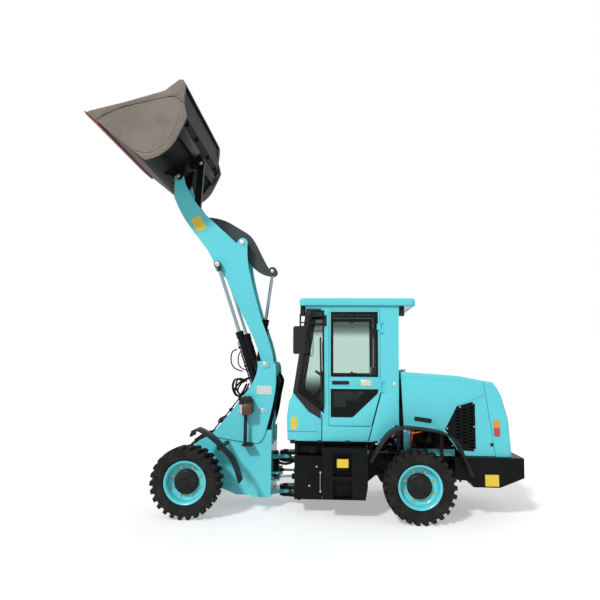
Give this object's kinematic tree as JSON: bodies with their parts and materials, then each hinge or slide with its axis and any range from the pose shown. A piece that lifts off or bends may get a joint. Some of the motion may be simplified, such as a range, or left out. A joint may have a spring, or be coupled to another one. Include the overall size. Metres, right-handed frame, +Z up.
{
  "type": "wheel loader",
  "caption": "Articulated wheel loader with a long raised boom, a rolled-back bucket, a closed cab and an engine hood, to dig, lift and tip loose material.",
  "frame": {"origin": "on the ground under the middle of the machine's length and width, with the bucket raised", "axes": "+X ahead, the machine's longest extent; +Y to its left, across the bucket, its shortest extent; +Z up"},
  "size_m": [5.5526, 2.2, 5.513],
  "materials": {
    "teal_paint": "gloss enamel",
    "black_paint": "semi-gloss enamel",
    "slate_paint": "satin enamel",
    "bucket_paint": "satin enamel",
    "edge_red": "satin enamel on steel",
    "rod_chrome": "polished",
    "tyre_rubber": "matt",
    "cast_black": "rough",
    "cab_glass": "tinted",
    "black_plastic": "grained",
    "lamp_lens": "clear moulded",
    "seat_vinyl": "grained vinyl",
    "engine_iron": "painted casting"
  },
  "bodies": {
    "rear_frame": {"rear_frame": "black_paint", "counterweight": "black_paint", "fuel_tank": "black_paint", "hydraulic_tank": "black_paint", "rear_axle": "cast_black", "engine_block": "engine_iron", "hood_frame": "teal_paint", "rear_fenders": "black_plastic", "cab_shell": "teal_paint", "cab_roof": "teal_paint", "cab_glass": "cab_glass", "roof_lamps": "black_plastic", "mirrors": "black_plastic", "driver_seat": "seat_vinyl", "steering_column": "black_plastic"},
    "front_frame": {"front_frame": "teal_paint", "front_axle": "cast_black", "front_fenders": "black_plastic", "headlamps": "black_plastic"},
    "boom": {"boom": "teal_paint"},
    "bellcrank": {"bellcrank": "slate_paint"},
    "bucket_link": {"bucket_link": "black_paint"},
    "bucket": {"bucket": "bucket_paint", "cutting_edge": "edge_red"},
    "lift_barrels": {"lift_barrels": "black_paint"},
    "lift_rods": {"lift_rods": "rod_chrome"},
    "tilt_barrel": {"tilt_barrel": "black_paint"},
    "tilt_rod": {"tilt_rod": "rod_chrome"},
    "steer_barrel_left": {"steer_barrel_left": "black_paint"},
    "steer_rod_left": {"steer_rod_left": "rod_chrome"},
    "steer_barrel_right": {"steer_barrel_right": "black_paint"},
    "steer_rod_right": {"steer_rod_right": "rod_chrome"},
    "door_left": {"door_left": "teal_paint", "door_glass_left": "cab_glass"},
    "door_right": {"door_right": "teal_paint", "door_glass_right": "cab_glass"},
    "hood": {"hood": "teal_paint", "side_grilles": "black_plastic", "rear_guard": "teal_paint", "tail_lamps": "lamp_lens"},
    "wheel_front_left": {"tyre_front_left": "tyre_rubber", "rim_front_left": "teal_paint"},
    "wheel_front_right": {"tyre_front_right": "tyre_rubber", "rim_front_right": "teal_paint"},
    "wheel_rear_left": {"tyre_rear_left": "tyre_rubber", "rim_rear_left": "teal_paint"},
    "wheel_rear_right": {"tyre_rear_right": "tyre_rubber", "rim_rear_right": "teal_paint"}
  },
  "joints": [
    {"name": "steering", "type": "hinge", "parent": "rear_frame", "child": "front_frame", "pos_m": [0.19672, 0, 0.4], "axis": [0, 0, 1], "range_deg": [-30, 30]},
    {"name": "boom_lift", "type": "hinge", "parent": "front_frame", "child": "boom", "pos_m": [0.42872, 0, 1.853], "axis": [0, -1, 0], "range_deg": [-95, 0]},
    {"name": "bucket_tilt", "type": "hinge", "parent": "boom", "child": "bucket", "pos_m": [1.73872, 0, 4.515], "axis": [0, 1, 0], "range_deg": [-60, 78]},
    {"name": "bellcrank_pivot", "type": "hinge", "parent": "boom", "child": "bellcrank", "pos_m": [0.81072, 0, 3.545], "axis": [0, 1, 0], "range_deg": [-19.09, 14.69]},
    {"name": "bucket_link_pivot", "type": "hinge", "parent": "bucket", "child": "bucket_link", "pos_m": [1.48272, 0, 4.777], "axis": [0, 1, 0], "range_deg": [-47.74, 36.72]},
    {"name": "lift_cylinder_swing", "type": "hinge", "parent": "front_frame", "child": "lift_barrels", "pos_m": [0.46672, 0, 1.265], "axis": [0, -1, 0], "range_deg": [-83.43, 1]},
    {"name": "lift_cylinder_stroke", "type": "slide", "parent": "lift_barrels", "child": "lift_rods", "axis": [0.3232, 0, 0.9463], "range_m": [-0.79836, 0.005]},
    {"name": "tilt_cylinder_swing", "type": "hinge", "parent": "front_frame", "child": "tilt_barrel", "pos_m": [0.66672, 0, 1.3], "axis": [0, -1, 0], "range_deg": [-76.26, 1]},
    {"name": "tilt_cylinder_stroke", "type": "slide", "parent": "tilt_barrel", "child": "tilt_rod", "axis": [-0.1381, 0, 0.9904], "range_m": [-0.6324, 0.005]},
    {"name": "steer_cylinder_left_swing", "type": "hinge", "parent": "rear_frame", "child": "steer_barrel_left", "pos_m": [-0.32328, 0.19, 0.395], "axis": [0, 0, 1], "range_deg": [-5.51, 5.51]},
    {"name": "steer_cylinder_left_stroke", "type": "slide", "parent": "steer_barrel_left", "child": "steer_rod_left", "axis": [0.9973, 0.073, 0], "range_m": [-0.11963, 0.11963]},
    {"name": "steer_cylinder_right_swing", "type": "hinge", "parent": "rear_frame", "child": "steer_barrel_right", "pos_m": [-0.32328, -0.19, 0.395], "axis": [0, 0, 1], "range_deg": [-5.51, 5.51]},
    {"name": "steer_cylinder_right_stroke", "type": "slide", "parent": "steer_barrel_right", "child": "steer_rod_right", "axis": [0.9973, -0.073, 0], "range_m": [-0.11963, 0.11963]},
    {"name": "wheel_front_left_spin", "type": "hinge", "parent": "front_frame", "child": "wheel_front_left", "pos_m": [1.34272, 0.835, 0.43], "axis": [0, 1, 0], "continuous": true},
    {"name": "wheel_front_right_spin", "type": "hinge", "parent": "front_frame", "child": "wheel_front_right", "pos_m": [1.34272, -0.835, 0.43], "axis": [0, 1, 0], "continuous": true},
    {"name": "wheel_rear_left_spin", "type": "hinge", "parent": "rear_frame", "child": "wheel_rear_left", "pos_m": [-1.48328, 0.835, 0.43], "axis": [0, 1, 0], "continuous": true},
    {"name": "wheel_rear_right_spin", "type": "hinge", "parent": "rear_frame", "child": "wheel_rear_right", "pos_m": [-1.48328, -0.835, 0.43], "axis": [0, 1, 0], "continuous": true},
    {"name": "door_left_swing", "type": "hinge", "parent": "rear_frame", "child": "door_left", "pos_m": [-1.04928, 0.674, 1.8], "axis": [0, 0, 1], "range_deg": [0, 90]},
    {"name": "door_right_swing", "type": "hinge", "parent": "rear_frame", "child": "door_right", "pos_m": [-1.04928, -0.674, 1.8], "axis": [0, 0, -1], "range_deg": [0, 90]},
    {"name": "hood_lift", "type": "hinge", "parent": "rear_frame", "child": "hood", "pos_m": [-1.29628, 0, 1.799], "axis": [0, 1, 0], "range_deg": [0, 40]}
  ],
  "couplings": [
    {"joint": "bellcrank_pivot", "follows": "bucket_tilt", "ratio": -0.24},
    {"joint": "bucket_link_pivot", "follows": "bucket_tilt", "ratio": -0.6},
    {"joint": "lift_cylinder_swing", "follows": "boom_lift", "ratio": 0.861},
    {"joint": "lift_cylinder_stroke", "follows": "boom_lift", "m_per_rad": 0.47206},
    {"joint": "tilt_cylinder_swing", "follows": "boom_lift", "ratio": 0.787},
    {"joint": "tilt_cylinder_stroke", "follows": "boom_lift", "m_per_rad": 0.37393},
    {"joint": "steer_cylinder_left_swing", "follows": "steering", "ratio": 0.18},
    {"joint": "steer_cylinder_right_swing", "follows": "steering", "ratio": 0.18},
    {"joint": "steer_cylinder_left_stroke", "follows": "steering", "m_per_rad": -0.224},
    {"joint": "steer_cylinder_right_stroke", "follows": "steering", "m_per_rad": 0.224}
  ]
}
